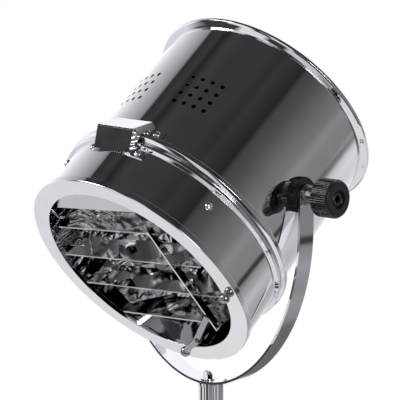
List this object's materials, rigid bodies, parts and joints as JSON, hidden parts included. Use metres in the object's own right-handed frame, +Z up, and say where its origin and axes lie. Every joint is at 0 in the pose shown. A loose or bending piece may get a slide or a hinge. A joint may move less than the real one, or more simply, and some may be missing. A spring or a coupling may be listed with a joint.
{
  "type": "tripod spotlight floor lamp",
  "caption": "Polished drum spotlight with pivoting shutter blades, carried by a U-yoke on a telescopic mast and folding tripod",
  "frame": {"origin": "on the floor under the mast axis, between the three feet", "axes": "+Z up along the mast; the lamp faces -Y, tilted 38 degrees down; +X is the tilt axis, towards the side with the link bar"},
  "size_m": [0.7094, 0.619, 1.6989],
  "materials": {
    "black_plastic": "fine matte",
    "black_rubber": "matte",
    "bulb_glass": "clear",
    "ceramic": "glazed",
    "dark_plate": "satin",
    "polished_chrome": "polished",
    "spun_aluminium": "polished inside",
    "steel": "bright"
  },
  "bodies": {
    "tripod_base": {"lower_mast": "polished_chrome", "mast_end_cap": "black_plastic", "mast_clamp": "polished_chrome", "tripod_crown": "polished_chrome", "leg_bolts": "steel"},
    "mast_top": {"upper_mast": "polished_chrome"},
    "yoke": {"yoke_strap": "polished_chrome", "cap_nut": "polished_chrome", "strap_screw": "steel", "stem_tube": "polished_chrome", "conduit": "polished_chrome", "swivel_block": "polished_chrome", "strap_washers": "steel", "knob_spacers": "steel"},
    "head": {"bezel": "polished_chrome", "front_ring": "polished_chrome", "top_bracket": "polished_chrome", "bracket_plate": "dark_plate", "bracket_rivets": "steel", "clamp_hoop": "polished_chrome", "ring_screws": "steel", "louvre_frame": "polished_chrome", "top_louvre_plate": "polished_chrome", "stop_ball": "polished_chrome", "drum": "polished_chrome", "rear_rim": "polished_chrome", "rear_cover": "polished_chrome", "cover_screws": "steel", "cable_gland": "black_plastic", "reflector": "spun_aluminium", "reflector_ring": "spun_aluminium", "lampholder": "ceramic", "bulb": "bulb_glass", "hub_disc_right": "black_plastic", "hub_disc_left": "black_plastic", "pivot_bolt_right": "steel", "pivot_bolt_left": "steel"},
    "knob_right": {"tilt_knob_right": "black_plastic"},
    "knob_left": {"tilt_knob_left": "black_plastic"},
    "pan_knob": {"pan_lock_knob": "black_plastic"},
    "mast_knob": {"mast_clamp_knob": "black_plastic"},
    "blade_1": {"louvre_blade_1": "polished_chrome"},
    "blade_2": {"louvre_blade_2": "polished_chrome"},
    "blade_3": {"louvre_blade_3": "polished_chrome"},
    "blade_4": {"louvre_blade_4": "polished_chrome"},
    "link": {"link_bar": "polished_chrome", "shutter_lever": "polished_chrome", "lever_ball": "polished_chrome"},
    "leg_1": {"leg_upper_1": "polished_chrome"},
    "leg_foot_1": {"leg_lower_1": "polished_chrome", "rubber_foot_1": "black_rubber"},
    "leg_collar_1": {"leg_lock_1": "black_plastic"},
    "leg_2": {"leg_upper_2": "polished_chrome"},
    "leg_foot_2": {"leg_lower_2": "polished_chrome", "rubber_foot_2": "black_rubber"},
    "leg_collar_2": {"leg_lock_2": "black_plastic"},
    "leg_3": {"leg_upper_3": "polished_chrome"},
    "leg_foot_3": {"leg_lower_3": "polished_chrome", "rubber_foot_3": "black_rubber"},
    "leg_collar_3": {"leg_lock_3": "black_plastic"}
  },
  "joints": [
    {"name": "mast_height", "type": "slide", "parent": "tripod_base", "child": "mast_top", "axis": [0, 0, 1], "range_m": [-0.045, 0.24]},
    {"name": "yoke_swivel", "type": "hinge", "parent": "mast_top", "child": "yoke", "pos_m": [0, 0, 1.08], "axis": [0, 0, 1], "range_deg": [-175, 175]},
    {"name": "head_tilt", "type": "hinge", "parent": "yoke", "child": "head", "pos_m": [0, 0, 1.5], "axis": [1, 0, 0], "range_deg": [-88, 12]},
    {"name": "tilt_knob_turn_right", "type": "hinge", "parent": "head", "child": "knob_right", "pos_m": [0.189, 0, 1.5], "axis": [1, 0, 0], "range_deg": [0, 360]},
    {"name": "tilt_knob_turn_left", "type": "hinge", "parent": "head", "child": "knob_left", "pos_m": [-0.189, 0, 1.5], "axis": [-1, 0, 0], "range_deg": [0, 360]},
    {"name": "pan_knob_turn", "type": "hinge", "parent": "yoke", "child": "pan_knob", "pos_m": [0, -0.02, 1.081], "axis": [0, -1, 0], "range_deg": [0, 360]},
    {"name": "mast_knob_turn", "type": "hinge", "parent": "tripod_base", "child": "mast_knob", "pos_m": [0, -0.02, 0.994], "axis": [0, -1, 0], "range_deg": [0, 360]},
    {"name": "louvre_turn_1", "type": "hinge", "parent": "head", "child": "blade_1", "pos_m": [-0.00548, -0.13883, 1.468], "axis": [-0.9959, 0.0558, -0.0714], "range_deg": [-25, 55]},
    {"name": "louvre_turn_2", "type": "hinge", "parent": "head", "child": "blade_2", "pos_m": [-0.00104, -0.10878, 1.42954], "axis": [-0.9959, 0.0558, -0.0714], "range_deg": [-25, 55]},
    {"name": "louvre_turn_3", "type": "hinge", "parent": "head", "child": "blade_3", "pos_m": [0.0034, -0.07874, 1.39109], "axis": [-0.9959, 0.0558, -0.0714], "range_deg": [-25, 55]},
    {"name": "louvre_turn_4", "type": "hinge", "parent": "head", "child": "blade_4", "pos_m": [0.00784, -0.0487, 1.35264], "axis": [-0.9959, 0.0558, -0.0714], "range_deg": [-25, 55]},
    {"name": "link_pin", "type": "hinge", "parent": "blade_2", "child": "link", "pos_m": [0.07949, -0.13567, 1.42808], "axis": [-0.9959, 0.0558, -0.0714], "range_deg": [-55, 25]},
    {"name": "leg_fold_1", "type": "hinge", "parent": "tripod_base", "child": "leg_1", "pos_m": [0, -0.042, 0.89], "axis": [1, 0, 0], "range_deg": [0, 21.9]},
    {"name": "leg_slide_1", "type": "slide", "parent": "leg_1", "child": "leg_foot_1", "axis": [0, -0.3729, -0.9279], "range_m": [-0.31, 0.06]},
    {"name": "leg_lock_turn_1", "type": "hinge", "parent": "leg_1", "child": "leg_collar_1", "pos_m": [0, -0.24521, 0.3843], "axis": [0, -0.3729, -0.9279], "range_deg": [0, 90]},
    {"name": "leg_fold_2", "type": "hinge", "parent": "tripod_base", "child": "leg_2", "pos_m": [0.03637, 0.021, 0.89], "axis": [-0.5, 0.866, 0], "range_deg": [0, 21.9]},
    {"name": "leg_slide_2", "type": "slide", "parent": "leg_2", "child": "leg_foot_2", "axis": [0.3229, 0.1864, -0.9279], "range_m": [-0.31, 0.06]},
    {"name": "leg_lock_turn_2", "type": "hinge", "parent": "leg_2", "child": "leg_collar_2", "pos_m": [0.21236, 0.12261, 0.3843], "axis": [0.3229, 0.1864, -0.9279], "range_deg": [0, 90]},
    {"name": "leg_fold_3", "type": "hinge", "parent": "tripod_base", "child": "leg_3", "pos_m": [-0.03637, 0.021, 0.89], "axis": [-0.5, -0.866, 0], "range_deg": [0, 21.9]},
    {"name": "leg_slide_3", "type": "slide", "parent": "leg_3", "child": "leg_foot_3", "axis": [-0.3229, 0.1864, -0.9279], "range_m": [-0.31, 0.06]},
    {"name": "leg_lock_turn_3", "type": "hinge", "parent": "leg_3", "child": "leg_collar_3", "pos_m": [-0.21236, 0.12261, 0.3843], "axis": [-0.3229, 0.1864, -0.9279], "range_deg": [0, 90]}
  ],
  "couplings": [
    {"joint": "louvre_turn_1", "follows": "louvre_turn_2", "ratio": 1},
    {"joint": "louvre_turn_3", "follows": "louvre_turn_2", "ratio": 1},
    {"joint": "louvre_turn_4", "follows": "louvre_turn_2", "ratio": 1},
    {"joint": "link_pin", "follows": "louvre_turn_2", "ratio": -1}
  ]
}
